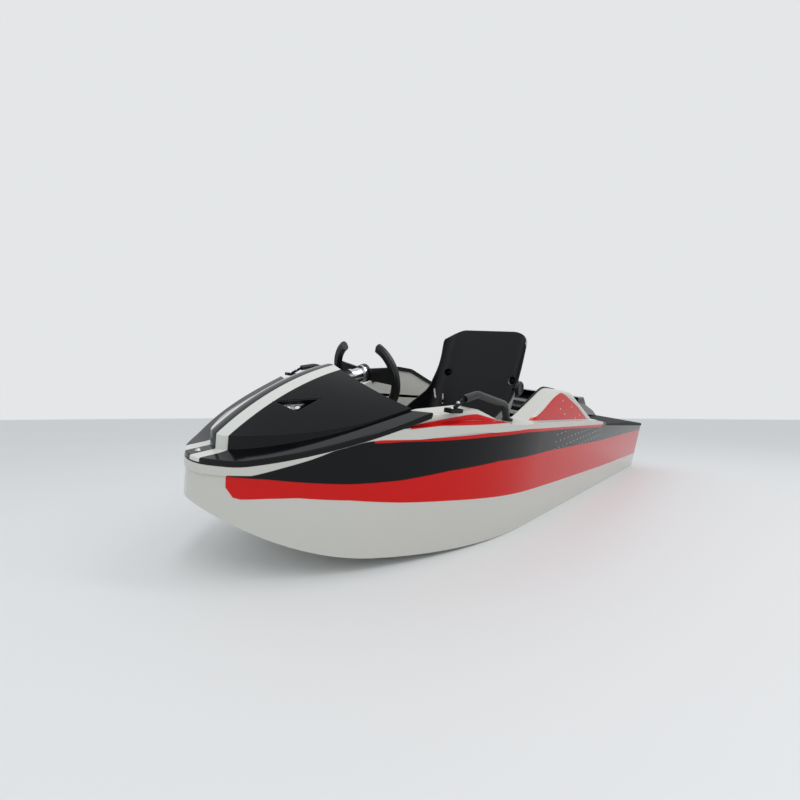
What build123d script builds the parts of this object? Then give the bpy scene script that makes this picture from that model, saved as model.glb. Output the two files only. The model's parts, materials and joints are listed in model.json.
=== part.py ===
"""One-seat jet boat: a sit-in personal watercraft with a V bottom, a nose cowl and a kart seat.

The boat is drawn upright, in millimetres: +X to the bow, +Y to port, +Z up, with the keel line
at Z = 0 and the middle of its length at X = 0. At the end settle() leans every piece to port
about the keel line, by the deadrise, because a V-bottomed boat on a floor lies on one bottom panel.
"""
from build123d import *

import os
from collections import namedtuple
from math import atan2, cos, degrees, radians, sin, tan

os.makedirs("parts", exist_ok=True)

# Hull outline seen from above: straight side, quarter arc, cheek arc, nose arc
boat_length = 2500.0
bow_x = boat_length / 2
stern_x = -boat_length / 2
beam_half = 418.0
side_end_x = bow_x - 800
quarter_end = (bow_x - 280, beam_half - 113)
cheek_end = (bow_x - 18, 66.0)
nose_middle = (bow_x - 4.6, 33.0)

# Bottom: flat V panels aft, lifting in two arcs to the stem
deadrise = 11.0
slope = tan(radians(deadrise))
lift_start_x = bow_x - 820
lift_middle_x = bow_x - 280
# Bottom line at a distance off the centre plane: rise of the first arc's end and of the stem
BottomLine = namedtuple("BottomLine", "y middle_rise stem_rise")
bottom_keel = BottomLine(0.0, 49.0, 168.0)
bottom_edge = BottomLine(beam_half + 32, 18.5, 102.5)
hull_skin = 8.0
drain_y = -160.0
drain_z = 70.0
drain_r = 12.0

# Room round the boat for blocks that only cut
spare = 60.0
sky_z = 800.0
half_wide = beam_half + spare

# Lines seen from the side: distance aft of the bow, height, rounding radius
SidePoint = namedtuple("SidePoint", "aft z r")
# Joint of hull and deck
sheer_line = [
    SidePoint(-spare, 222, 0),
    SidePoint(85, 252, 150),
    SidePoint(265, 345, 200),
    SidePoint(490, 379, 500),
    SidePoint(1550, 379, 900),
    SidePoint(boat_length + spare, 353.7, 0),
]
# Upper edge of the deck moulding: the lip under the cowl, then the wavy coaming and the humps
coaming_line = [
    SidePoint(-spare, 242, 0),
    SidePoint(55, 264, 120),
    SidePoint(388, 414, 60),
    SidePoint(510, 434, 90),
    SidePoint(622, 400, 90),
    SidePoint(732, 400, 110),
    SidePoint(930, 507, 110),
    SidePoint(1046, 504, 110),
    SidePoint(1380, 404, 200),
    SidePoint(1650, 386, 0),
]

# Deck moulding
deck_skin = 6.0
deck_aft_x = bow_x - 1550
band_proud = 3.0
band_height = 27.0
band_round = 4.0
coaming_inset = 12.0
coaming_round = 12.0
rim_inset = 70.0
tub_floor_z = 108.0
tub_aft_x = bow_x - 1180
tub_nose_x = bow_x - 200
tub_round = 60.0
channel_floor_z = 386.0
trim_thick = 5.0
trim_above = 4.0
trim_below = 14.0

# Aft deck and engine hatch
aft_deck_level_x = bow_x - 2090
aft_deck_stern_z = 371.0
aft_deck_round = 8.0
hatch_front_x = bow_x - 1340
hatch_aft_x = hatch_front_x - 670
hatch_half = 225.0
seal_width = 14.0
seal_thick = 5.0

# Engine hood: side line as distance aft of its front edge and rise over the seal
hood_front_x = hatch_front_x + 26
hood_half = hatch_half + 30
hood_skin = 5.0
hood_round = 12.0
HoodPoint = namedtuple("HoodPoint", "aft rise")
hood_profile = [
    HoodPoint(0, 0),
    HoodPoint(6, 16),
    HoodPoint(360, 26),
    HoodPoint(540, 66),
    HoodPoint(640, 64),
    HoodPoint(736, 26),
    HoodPoint(736, 0),
]
hood_side_lean = 60.0
hood_side_low = 5.0
hood_side_rise = 70.0
scoop_half = 205.0
scoop_skin = 4.0
scoop_profile = [
    HoodPoint(500, 40),
    HoodPoint(520, 92),
    HoodPoint(622, 97),
    HoodPoint(722, 36),
    HoodPoint(728, 10),
]
hinge_gap = 18.0
hinge_r = 6.0
hinge_wall = 5.0
hinge_y = 170.0
hinge_length = 60.0
hinge_rise = 6.0
lug_thick = 10.0
side_clear = 1.0
pin_clear = 0.3

# Nose cowl: heights of the ridge and of a side line, at three places aft of the bow
RoofLine = namedtuple("RoofLine", "y rear middle front")
roof_ridge = RoofLine(0, 511, 449, 302)
roof_side = RoofLine(420, 421, 279, 156)
roof_rear_x = bow_x - 410
roof_middle_x = bow_x - 220
roof_front_x = bow_x - 35
roof_round = 90.0
roof_floor_z = 60.0
roof_nose_drop = 75.0
roof_nose_run = 20.0
cowl_skin = 5.0
cowl_flange = 45.0
cowl_flange_thick = 9.0
cowl_edge_round = 3.5
gasket_thick = 4.0
gasket_width = 24.0
cowl_rear_centre_x = bow_x - 330
cowl_rear_side_x = bow_x - 406

# Lamps in the sides of the cowl: the three corners of the port pocket, as distances aft, y, z
lamp_corners = [(153, 45, 384), (239, 119, 406), (179, 116, 371)]
lamp_depth = 16.0
lamp_wall = 3.0
lamp_plate_thick = 3.0
lamp_plate_drop = 7.0
lamp_reach = 40.0
lamp_plate_share = 0.74
lamp_holes = [(0.17, 0.26), (0.34, 0.27)]
lamp_hole_r = 7.5

# Seat shell at several heights: how far ahead its back is, its half width, and its corner radius
SeatRow = namedtuple("SeatRow", "z ahead half r")
seat_x = bow_x - 1133
seat_rows = [
    SeatRow(116, 164, 132, 40),
    SeatRow(124, 142, 150, 46),
    SeatRow(142, 124, 164, 50),
    SeatRow(170, 110, 172, 52),
    SeatRow(230, 94, 184, 54),
    SeatRow(345, 64, 200, 56),
    SeatRow(450, 44, 204, 58),
    SeatRow(570, 23, 204, 60),
    SeatRow(726, 0, 200, 60),
]
# Front edge of the seat from the side, from the pan up to the top of the back
SeatEdge = namedtuple("SeatEdge", "ahead z r")
seat_edge = [
    SeatEdge(462, 90, 0),
    SeatEdge(400, 240, 150),
    SeatEdge(225, 362, 150),
    SeatEdge(108, 436, 120),
    SeatEdge(60, 550, 300),
    SeatEdge(52, 740, 0),
]
seat_top_z = 716.0
seat_half = max(row.half for row in seat_rows)
seat_skin = 6.0
seat_crown_r = 92.0
seat_floor_gap = 8.0
rail_ahead = 273.0
rail_length = 220.0
rail_width = 30.0
rail_y = 90.0
bump_y = 158.0
bump_z = 517.0
bump_r = 23.0
bump_ahead = 23.0
bump_skin = 4.0
bump_depth = 16.0
recess_r = 17.0

# Steering
column_tilt = 20.0
hub_x = bow_x - 455
hub_z = 475.0
column_r = 11.0
column_length = 200.0
column_arm = 55.0
column_arm_wide = 16.0
column_arm_thick = 6.0
# Boss behind the wheel: start behind the hub plate, length, radius
BossStep = namedtuple("BossStep", "start length r")
boss_steps = [BossStep(0, 7, 26), BossStep(7, 8, 17), BossStep(15, 26, 21), BossStep(41, 9, 24)]
hub_plate_r = 27.0
hub_plate_thick = 12.0
spoke_thick = 6.0
grip_points = [(76, 78), (130, 10), (110, -66)]
grip_wide = 27.0
grip_deep = 21.0
grip_corner = 6.0
spoke_points = [(10, 14), (124, 29), (124, -22), (10, -20)]
bearing_length = 40.0
bearing_r = 24.0
bearing_aft = 60.0
bar_r = 13.0
bar_drop = 62.0
bracket_wide = 40.0

# Side handles, each in an upright plane: distance ahead of the foot, height
handle_x = bow_x - 690
handle_y = beam_half - 57
handle_path = [(0, 396), (32, 446), (180, 467), (235, 454)]
handle_rounds = [24, 60]
handle_r = 9.5
rod_r = 4.5
rod_end = (270, 432)
cleat_length = 46.0
cleat_width = 20.0
cleat_thick = 10.0
foot_pad_r = 15.0
foot_pad_thick = 8.0

# Foot rest and pedal at the front of the footwell
foot_rest_x = bow_x - 320
foot_rest_length = 95.0
foot_rest_half = 150.0
foot_rest_height = 120.0
pedal_y = -70.0
pedal_width = 76.0
pedal_low = 18.0
pedal_high = 112.0
pedal_thick = 9.0

# Jet drive, measured from the stern
drive_z = 112.0
tunnel_half = 105.0
tunnel_top_z = 236.0
tunnel_front_x = stern_x + 370
pump_front_x = stern_x + 240
impeller_aft_x = stern_x + 160
stator_aft_x = stern_x + 138
cone_aft_x = stern_x + 110
outlet_aft_x = stern_x + 92
pump_bore_r = 72.0
pump_wall = 12.0
stator_bore_r = 64.0
outlet_r = 38.0
outlet_wall = 8.0
stator_hub_r = 22.0
stator_vanes = 7
vane_thick = 4.0
hanger_length = 24.0
hanger_half = 30.0
impeller_gap = 3.0
impeller_blades = 4
impeller_hub_r = 24.0
blade_thick = 5.0
blade_pitch = 35.0
drive_shaft_r = 11.0
shaft_ahead = 160.0
nozzle_pivot_x = stern_x + 78
nozzle_front_x = stern_x + 86
nozzle_exit_x = stern_x + 4
nozzle_mouth_r = 58.0
nozzle_exit_r = 38.0
nozzle_wall = 6.0
pivot_pin_r = 5.0
pivot_boss_r = 13.0
fork_thick = 8.0
fork_gap = 0.5
fork_aft_x = stern_x + 65
arm_half = 7.0
arm_reach = 95.0

# Bottom closures of the tunnel
ride_z = 27.5
ride_thick = 6.5
grate_frame = 34.0
grate_bars = 3
grate_bar_width = 8.0
grate_end = 14.0
ride_overlap = 20.0
duct_clear = 4.0

# Engine and its bearers
engine_size = (330.0, 260.0, 250.0)
engine_x = bow_x - 1630
engine_z = 215.0
engine_round = 25.0
coupling_r = 45.0
bearer_half = 20.0
bearer_reach = 220.0
bearer_y = 100.0


def plan(inset=0.0):
    """The boat's outline seen from above, moved in by the inset, or out by a negative one."""
    with BuildSketch() as outline:
        with BuildLine():
            side = Line((stern_x, beam_half), (side_end_x, beam_half))
            quarter = TangentArc(side @ 1, quarter_end, tangent=side % 1)
            cheek = TangentArc(quarter @ 1, cheek_end, tangent=quarter % 1)
            ThreePointArc(cheek @ 1, nose_middle, (bow_x, 0))
            mirror(about=Plane.XZ)
            Line((stern_x, beam_half), (stern_x, -beam_half))
        make_face()
        if inset:
            offset(amount=-inset, kind=Kind.INTERSECTION)
    return outline.sketch


def above(points, shift=0.0):
    """Everything above a line seen from the side, as one block across the boat."""
    with BuildPart() as block:
        with BuildSketch(Plane.XZ.offset(-half_wide)):
            with BuildLine():
                line = FilletPolyline(*[(bow_x - p.aft, p.z + shift) for p in points],
                                      radius=[p.r for p in points[1:-1]])
                Polyline(line @ 1, ((line @ 1).X, sky_z), ((line @ 0).X, sky_z), line @ 0)
            make_face()
        extrude(amount=2 * half_wide)
    return block.part


def bottom_section(line, side, rise):
    """The side view of everything above the bottom, at one distance off the centre plane."""
    base_z = line.y * slope + rise
    with BuildSketch(Plane.XZ.offset(-side * line.y)) as section:
        with BuildLine():
            run = Line((stern_x - spare, base_z), (lift_start_x, base_z))
            first = TangentArc(run @ 1, (lift_middle_x, base_z + line.middle_rise), tangent=run % 1)
            second = TangentArc(first @ 1, (bow_x, base_z + line.stem_rise), tangent=first % 1)
            last = second @ 1 + (second % 1) * spare
            Polyline(second @ 1, last, (last.X, sky_z), (stern_x - spare, sky_z), run @ 0)
        make_face()
    return section.sketch


def above_bottom(rise=0.0):
    """Everything above the V bottom, or above a surface that much higher, as two ruled halves."""
    with BuildPart() as block:
        for side in (-1, 1):
            loft([bottom_section(bottom_keel, side, rise), bottom_section(bottom_edge, side, rise)], ruled=True)
    return block.part


def prism(sketch, low=-spare, high=sky_z):
    """A flat outline drawn up between two heights."""
    with BuildPart() as block:
        with BuildSketch(Plane.XY.offset(low)):
            add(sketch)
        extrude(amount=high - low)
    return block.part


def box_between(low, high):
    """A box from its lowest to its highest corner."""
    with BuildPart() as block:
        with Locations(Vector((low[0] + high[0]) / 2, (low[1] + high[1]) / 2, (low[2] + high[2]) / 2)):
            Box(high[0] - low[0], high[1] - low[1], high[2] - low[2])
    return block.part


def slab(front_x, aft_x, low=-spare, high=sky_z, half=half_wide):
    """Everything between two places along the boat and two heights."""
    return box_between((aft_x, -half, low), (front_x, half, high))


def rim_edges(solid, least_up):
    """The edges round the upper faces of a solid, apart from straight ones right across the boat."""
    tops = [f for f in solid.faces() if f.normal_at().Z > least_up]
    edges = [e for f in tops for e in f.edges()]
    single = [e for e in edges if sum(e.is_same(other) for other in edges) == 1]
    return [e for e in single if not (e.geom_type == GeomType.LINE and abs((e % 0).Y) > 0.99)]


pieces = {}


def keep(part, name):
    """Name a finished piece and put it on the list of what is written."""
    part.label = name
    pieces[name] = part


# Hull: an open V-bottomed shell with a tunnel for the jet drive, a shaft hole and a drain bore
with BuildPart() as hull_hollow:
    add(prism(plan(hull_skin)))
    add(above_bottom(hull_skin / cos(radians(deadrise))), mode=Mode.INTERSECT)
    add(slab(tunnel_front_x + hull_skin, stern_x, high=tunnel_top_z + hull_skin, half=tunnel_half + hull_skin),
        mode=Mode.SUBTRACT)

drive_axis = Plane(origin=(0, 0, drive_z), x_dir=(0, -1, 0), z_dir=(-1, 0, 0))


def turned(front, aft, outer, inner=0.0):
    """A round bar or a tube about the shaft line, between two places along the boat."""
    with BuildPart() as bar:
        with BuildSketch(drive_axis.offset(-front)):
            Circle(outer)
            if inner:
                Circle(inner, mode=Mode.SUBTRACT)
        extrude(amount=front - aft)
    return bar.part


def cone(front, aft, front_r, aft_r):
    """A tapered round form about the shaft line."""
    with BuildPart() as form:
        with BuildSketch(drive_axis.offset(-front)):
            Circle(front_r)
        with BuildSketch(drive_axis.offset(-aft)):
            Circle(aft_r)
        loft()
    return form.part


shaft_hole_r = drive_shaft_r + 6
with BuildPart() as hull:
    add(prism(plan()))
    add(above_bottom(), mode=Mode.INTERSECT)
    add(above(sheer_line), mode=Mode.SUBTRACT)
    add(hull_hollow.part, mode=Mode.SUBTRACT)
    add(slab(tunnel_front_x, stern_x - spare, high=tunnel_top_z, half=tunnel_half), mode=Mode.SUBTRACT)
    add(turned(tunnel_front_x + spare, tunnel_front_x - spare, shaft_hole_r), mode=Mode.SUBTRACT)
    with BuildSketch(drive_axis.offset(-stern_x - spare)):
        with Locations((-drain_y, drain_z - drive_z)):
            Circle(drain_r)
    extrude(amount=2 * spare, mode=Mode.SUBTRACT)
keep(hull.part, "hull")


# Deck moulding: gunwale band, wavy coaming, cockpit tub and the low channel aft of the seat
def deck_form(inset, line_shift, rounding=0.0):
    """The room between the sheer line and the coaming line, inside the boat's outline."""
    with BuildPart() as form:
        add(prism(plan(inset)))
        add(above(sheer_line), mode=Mode.INTERSECT)
        add(above(coaming_line, line_shift), mode=Mode.SUBTRACT)
        add(slab(deck_aft_x, stern_x - spare), mode=Mode.SUBTRACT)
        if rounding:
            fillet(rim_edges(form, 0.3), radius=rounding)
    return form.part


def gunwale_band():
    """The band that stands proud along the sheer."""
    with BuildPart() as form:
        add(prism(plan(-band_proud)))
        add(above(sheer_line), mode=Mode.INTERSECT)
        add(above(sheer_line, band_height), mode=Mode.SUBTRACT)
        add(above(coaming_line), mode=Mode.SUBTRACT)
        add(slab(deck_aft_x, stern_x - spare), mode=Mode.SUBTRACT)
    return form.part


def room(grow, floor_z, front_x, aft_x, rounding=0.0):
    """The room inside the coaming between two places, down to a floor."""
    with BuildPart() as space:
        add(prism(plan(rim_inset - grow), floor_z - grow))
        add(slab(front_x + grow, aft_x - grow), mode=Mode.INTERSECT)
        if rounding:
            fillet(space.edges().filter_by(Axis.Z).group_by(Axis.X)[0], radius=rounding + grow)
    return space.part


cockpit = room(0, tub_floor_z, tub_nose_x, tub_aft_x, tub_round)
cockpit_wall = room(deck_skin, tub_floor_z, tub_nose_x, tub_aft_x, tub_round)
channel = room(0, channel_floor_z, tub_aft_x + tub_round, deck_aft_x - spare)
channel_wall = room(deck_skin, channel_floor_z, tub_aft_x + tub_round, deck_aft_x - spare)
hatch = slab(hatch_front_x, hatch_aft_x, half=hatch_half, low=tunnel_top_z)
tub_lip_z = channel_floor_z - 20

with BuildPart() as deck_hollow:
    add(deck_form(coaming_inset + deck_skin, -deck_skin))
    add(cockpit_wall, mode=Mode.SUBTRACT)
    add(channel_wall, mode=Mode.SUBTRACT)

with BuildPart() as tub_shell:
    add(cockpit_wall)
    add(slab(bow_x, stern_x, low=tub_lip_z), mode=Mode.SUBTRACT)
    add(above(coaming_line, -2 * deck_skin), mode=Mode.SUBTRACT)

with BuildPart() as deck:
    add(deck_form(coaming_inset, 0, coaming_round))
    add(gunwale_band())
    add(deck_hollow.part, mode=Mode.SUBTRACT)
    add(tub_shell.part)
    add(cockpit, mode=Mode.SUBTRACT)
    add(channel, mode=Mode.SUBTRACT)
    add(hatch, mode=Mode.SUBTRACT)
keep(deck.part, "deck")

# Edge trim: a soft strip on the inner face of each hump, a little higher than the coaming
trim_front_x = bow_x - 800
with BuildPart() as edge_trim:
    add(prism(plan(rim_inset)))
    add(prism(plan(rim_inset + trim_thick)), mode=Mode.SUBTRACT)
    add(above(coaming_line, -trim_below), mode=Mode.INTERSECT)
    add(above(coaming_line, trim_above), mode=Mode.SUBTRACT)
    add(slab(trim_front_x, deck_aft_x + 2 * spare), mode=Mode.INTERSECT)
keep(edge_trim.part, "edge_trim")

# Aft deck: a plate over the stern with the rear part of the hatch in it
with BuildPart() as aft_deck_space:
    with BuildSketch(Plane.XZ.offset(-half_wide)):
        with BuildLine():
            Polyline((deck_aft_x, tunnel_top_z), (deck_aft_x, channel_floor_z), (aft_deck_level_x, channel_floor_z),
                     (stern_x, aft_deck_stern_z), (stern_x, tunnel_top_z), close=True)
        make_face()
    extrude(amount=2 * half_wide)

with BuildPart() as aft_deck:
    add(aft_deck_space.part)
    add(above(sheer_line), mode=Mode.INTERSECT)
    add(prism(plan(-band_proud)), mode=Mode.INTERSECT)
    fillet(rim_edges(aft_deck, 0.9), radius=aft_deck_round)
    add(hatch, mode=Mode.SUBTRACT)
keep(aft_deck.part, "aft_deck")

# Hatch seal: a soft ring round the hatch, on which the hood lies
with BuildPart() as hatch_seal:
    add(box_between((hatch_aft_x - seal_width, -hatch_half - seal_width, channel_floor_z),
                    (hatch_front_x + seal_width, hatch_half + seal_width, channel_floor_z + seal_thick)))
    add(hatch, mode=Mode.SUBTRACT)
keep(hatch_seal.part, "hatch_seal")

# Engine hood: a hollow lid that rises aft to an air scoop, with hinge eyes at its rear edge
hood_base_z = channel_floor_z + seal_thick


def hood_block(profile, half):
    """A side profile given from the hood's front edge, drawn out across the boat."""
    with BuildPart() as block:
        with BuildSketch(Plane.XZ.offset(-half)):
            with BuildLine():
                Polyline(*[(hood_front_x - p.aft, hood_base_z + p.rise) for p in profile], close=True)
            make_face()
        extrude(amount=2 * half)
    return block.part


with BuildPart() as hood_form:
    add(hood_block(hood_profile, hood_half))
    with BuildSketch(Plane.YZ.offset(hood_front_x + spare)):
        with BuildLine():
            Polyline((-hood_half, hood_base_z), (-hood_half, hood_base_z + hood_side_low),
                     (-hood_half + hood_side_lean, hood_base_z + hood_side_rise),
                     (hood_half - hood_side_lean, hood_base_z + hood_side_rise),
                     (hood_half, hood_base_z + hood_side_low), (hood_half, hood_base_z), close=True)
        make_face()
    extrude(amount=-boat_length, mode=Mode.INTERSECT)
    fillet([e for e in hood_form.edges() if e.center().Z > hood_base_z + hood_side_low + 1], radius=hood_round)

hinge_x = hood_front_x - hood_profile[-1].aft - hinge_gap
hinge_z = hood_base_z + hinge_rise
eye_r = hinge_r + hinge_wall
with BuildPart() as hood:
    add(hood_form.part)
    offset(amount=-hood_skin, openings=hood.faces().sort_by(Axis.Z)[0])
    for side in (-1, 1):
        with BuildSketch(Plane.XZ.offset(-side * hinge_y - hinge_length / 2)):
            with BuildLine():
                Polyline((hinge_x, hinge_z - hinge_r), (hinge_x + hinge_gap + hood_skin / 2, hinge_z - hinge_r),
                         (hinge_x + hinge_gap + hood_skin / 2, hinge_z + hinge_r), (hinge_x, hinge_z + hinge_r),
                         close=True)
            make_face()
            with Locations((hinge_x, hinge_z)):
                Circle(eye_r)
                Circle(hinge_r + pin_clear, mode=Mode.SUBTRACT)
        extrude(amount=hinge_length)
keep(hood.part, "engine_hood")

# Air scoop on the hood, open to the front
with BuildPart() as hood_scoop:
    add(hood_block(scoop_profile, scoop_half))
    fillet(hood_scoop.edges().filter_by(lambda e: e.center().Z > hood_base_z + 60 and abs(e.center().Y) > 1), radius=10)
    add(hood_block([HoodPoint(p.aft - 2 * scoop_skin, p.rise - scoop_skin) for p in scoop_profile],
                   scoop_half - scoop_skin), mode=Mode.SUBTRACT)
    add(hood_form.part, mode=Mode.SUBTRACT)
keep(hood_scoop.part, "hood_scoop")

# Hood hinges: for each eye, a pin between two lugs that stand on the aft deck
with BuildPart() as hood_hinges:
    for side in (-1, 1):
        for lug in (-1, 1):
            lug_y = side * hinge_y + lug * (hinge_length / 2 + side_clear + lug_thick / 2)
            with BuildSketch(Plane.XZ.offset(-lug_y - lug_thick / 2)):
                with Locations((hinge_x, hinge_z)):
                    Circle(eye_r)
                with Locations((hinge_x, (hinge_z + channel_floor_z) / 2 - lug_thick)):
                    Rectangle(2 * eye_r, hinge_z - channel_floor_z + 2 * lug_thick)
            extrude(amount=lug_thick)
        with BuildSketch(Plane.XZ.offset(-side * hinge_y - hinge_length / 2 - side_clear - lug_thick)):
            with Locations((hinge_x, hinge_z)):
                Circle(hinge_r)
        extrude(amount=hinge_length + 2 * (side_clear + lug_thick))
    add(aft_deck_space.part, mode=Mode.SUBTRACT)
keep(hood_hinges.part, "hood_hinges")


# Nose cowl: a ridged dome on a flange that lies round the bow on a gasket
def roof_section(line, side, drop):
    """The side view of everything under the cowl's roof, at one distance off the centre plane."""
    with BuildSketch(Plane.XZ.offset(-side * line.y)) as section:
        with BuildLine():
            crest = ThreePointArc((roof_rear_x, line.rear - drop), (roof_middle_x, line.middle - drop),
                                  (roof_front_x, line.front - drop))
            Polyline(crest @ 1, (bow_x + roof_nose_run, line.front - drop - roof_nose_drop),
                     (bow_x + roof_nose_run, roof_floor_z), (roof_rear_x, roof_floor_z), crest @ 0)
        make_face()
    return section.sketch


def roof(drop=0.0):
    """Everything under the cowl's roof, or under one that much lower, as two ruled halves."""
    with BuildPart() as block:
        for side in (-1, 1):
            loft([roof_section(roof_ridge, side, drop), roof_section(roof_side, side, drop)], ruled=True)
        ridge = [e for e in block.edges() if abs(e.center().Y) < 1 and e.bounding_box().size.Y < 1]
        fillet([e for e in ridge if e.center().Z > roof_side.front], radius=roof_round)
    return block.part


with BuildPart() as cowl_rear_cut:
    with BuildSketch():
        with BuildLine():
            arc = ThreePointArc((cowl_rear_side_x, half_wide), (cowl_rear_centre_x, 0), (cowl_rear_side_x, -half_wide))
            Polyline(arc @ 1, (stern_x, -half_wide), (stern_x, half_wide), arc @ 0)
        make_face()
    extrude(amount=sky_z)

with BuildPart() as cowl_plate:
    add(prism(plan(-band_proud)))
    add(above(coaming_line, gasket_thick), mode=Mode.INTERSECT)
    add(above(coaming_line, gasket_thick + cowl_flange_thick), mode=Mode.SUBTRACT)
    add(slab(bow_x + spare, cowl_rear_side_x - spare), mode=Mode.INTERSECT)
    fillet(rim_edges(cowl_plate, 0.3), radius=cowl_edge_round)

with BuildPart() as cowl_dome:
    add(prism(plan(cowl_flange)))
    add(roof(), mode=Mode.INTERSECT)
    add(above(coaming_line, gasket_thick + 1), mode=Mode.INTERSECT)

with BuildPart() as cowl_hollow:
    add(prism(plan(cowl_flange + cowl_skin)))
    add(roof(cowl_skin), mode=Mode.INTERSECT)

lamp_tip, lamp_rear, lamp_side = [Vector(bow_x - aft, y, z) for aft, y, z in lamp_corners]
lamp_plane = Plane(origin=lamp_tip, x_dir=lamp_rear - lamp_tip, z_dir=(lamp_side - lamp_tip).cross(lamp_rear - lamp_tip))


def lamp_prism(inset, low, high, share=1.0):
    """The three-cornered form of a lamp pocket between two depths, or the tip's share of it."""
    corners = [lamp_plane.to_local_coords(lamp_tip + (corner - lamp_tip) * share)
               for corner in (lamp_tip, lamp_rear, lamp_side)]
    with BuildPart() as block:
        with BuildSketch(lamp_plane.offset(low)):
            with BuildLine():
                Polyline(*[(corner.X, corner.Y) for corner in corners], close=True)
            make_face()
            if inset:
                offset(amount=-inset, kind=Kind.INTERSECTION)
        extrude(amount=high - low)
    return block.part


lamp_pocket = lamp_prism(0, -lamp_reach, lamp_reach)
with BuildPart() as cowl:
    add(cowl_plate.part)
    add(cowl_dome.part)
    add(cowl_hollow.part, mode=Mode.SUBTRACT)
    add(cowl_rear_cut.part, mode=Mode.SUBTRACT)
    add(lamp_pocket, mode=Mode.SUBTRACT)
    add(mirror(lamp_pocket, about=Plane.XZ), mode=Mode.SUBTRACT)
keep(cowl.part, "cowl")

with BuildPart() as cowl_gasket:
    add(prism(plan(1 - band_proud)))
    add(prism(plan(gasket_width)), mode=Mode.SUBTRACT)
    add(above(coaming_line), mode=Mode.INTERSECT)
    add(above(coaming_line, gasket_thick), mode=Mode.SUBTRACT)
    add(slab(bow_x + spare, cowl_rear_side_x - spare), mode=Mode.INTERSECT)
    add(cowl_rear_cut.part, mode=Mode.SUBTRACT)
keep(cowl_gasket.part, "cowl_gasket")

# Lamp trays: a cup in each pocket, with a plate over its tip that has two round holes
with BuildPart() as lamp_tray:
    add(lamp_prism(0, -lamp_depth - lamp_wall, lamp_reach))
    add(lamp_prism(lamp_wall, -lamp_depth, lamp_reach), mode=Mode.SUBTRACT)
    add(lamp_prism(0, -lamp_plate_drop - lamp_plate_thick, -lamp_plate_drop, lamp_plate_share))
    with BuildSketch(lamp_plane.offset(-lamp_plate_drop)):
        for along_rear, along_side in lamp_holes:
            hole = lamp_tip + (lamp_rear - lamp_tip) * along_rear + (lamp_side - lamp_tip) * along_side
            with Locations((lamp_plane.to_local_coords(hole).X, lamp_plane.to_local_coords(hole).Y)):
                Circle(lamp_hole_r)
    extrude(amount=-lamp_plate_thick, mode=Mode.SUBTRACT)
    add(roof(1), mode=Mode.INTERSECT)
keep(lamp_tray.part, "lamp_port")
keep(mirror(lamp_tray.part, about=Plane.XZ), "lamp_starboard")


# Seat: a bucket with a tall back, ruled between rounded levels and cut to the line of its front edge
def seat_block(inset):
    """The seat as a full block, or what is inside its shell, still open to the front and the top."""
    levels = []
    for row in seat_rows:
        lift = inset if row is seat_rows[0] else 0
        back = seat_x + row.ahead + inset
        half = row.half - inset
        with BuildSketch(Plane.XY.offset(row.z + lift)) as level:
            with BuildLine():
                side_line = FilletPolyline((bow_x, half), (back, half), (back, -half), (bow_x, -half),
                                           radius=row.r - inset)
                Line(side_line @ 1, side_line @ 0)
            make_face()
        levels.append(level.sketch)
    return loft(levels, ruled=True)


with BuildPart() as seat:
    add(seat_block(0))
    with BuildSketch(Plane.XZ.offset(-half_wide)):
        with BuildLine():
            front_edge = FilletPolyline(*[(seat_x + p.ahead, p.z) for p in seat_edge],
                                        radius=[p.r for p in seat_edge[1:-1]])
            Polyline(front_edge @ 1, (stern_x, sky_z), (stern_x, seat_edge[0].z), front_edge @ 0)
        make_face()
    extrude(amount=2 * half_wide, mode=Mode.INTERSECT)
    with BuildSketch(Plane.YZ.offset(seat_x - spare)):
        with Locations((0, seat_top_z / 2)):
            RectangleRounded(2 * seat_half, seat_top_z, seat_crown_r)
    extrude(amount=half_wide, mode=Mode.INTERSECT)
    add(seat_block(seat_skin), mode=Mode.SUBTRACT)
    for side in (-1, 1):
        with BuildSketch(Plane.YZ.offset(seat_x + bump_ahead)):
            with Locations((side * bump_y, bump_z)):
                Circle(bump_r)
        extrude(amount=bump_depth)
        with BuildSketch(Plane.YZ.offset(seat_x + bump_ahead + bump_skin)):
            with Locations((side * bump_y, bump_z)):
                Circle(recess_r)
        extrude(amount=bump_depth + seat_skin, mode=Mode.SUBTRACT)
keep(seat.part, "seat")

# Seat rails: two strips that hold the pan to the tub floor
with BuildPart() as seat_rails:
    for side in (-1, 1):
        with Locations((seat_x + rail_ahead, side * rail_y, tub_floor_z + seat_floor_gap / 2)):
            Box(rail_length, rail_width, seat_floor_gap)
keep(seat_rails.part, "seat_rails")

# Foot rest: a wedge across the front of the footwell, with one pedal on it
foot_rest_face = Plane(origin=(foot_rest_x, 0, tub_floor_z), x_dir=(0, -1, 0),
                       z_dir=(-foot_rest_height, 0, foot_rest_length))
with BuildPart() as foot_rest:
    with BuildSketch(Plane.XZ.offset(-foot_rest_half)):
        with BuildLine():
            Polyline((foot_rest_x, tub_floor_z), (foot_rest_x + foot_rest_length, tub_floor_z),
                     (foot_rest_x + foot_rest_length, tub_floor_z + foot_rest_height), close=True)
        make_face()
    extrude(amount=2 * foot_rest_half)
keep(foot_rest.part, "foot_rest")

with BuildPart() as throttle_pedal:
    with BuildSketch(foot_rest_face):
        with Locations((-pedal_y, (pedal_low + pedal_high) / 2)):
            RectangleRounded(pedal_width, pedal_high - pedal_low, pedal_thick)
    extrude(amount=pedal_thick)
keep(throttle_pedal.part, "throttle_pedal")

# Steering: column, stepped boss, and a hub plate with two spokes and two curved grips
tilt = radians(column_tilt)
column_dir = Vector(-cos(tilt), 0, sin(tilt))
hub = Vector(hub_x, 0, hub_z)
wheel_plane = Plane(origin=hub, x_dir=(0, -1, 0), z_dir=column_dir)
boss_start = hub_plate_thick / 2
boss_length = boss_steps[-1].start + boss_steps[-1].length

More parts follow.
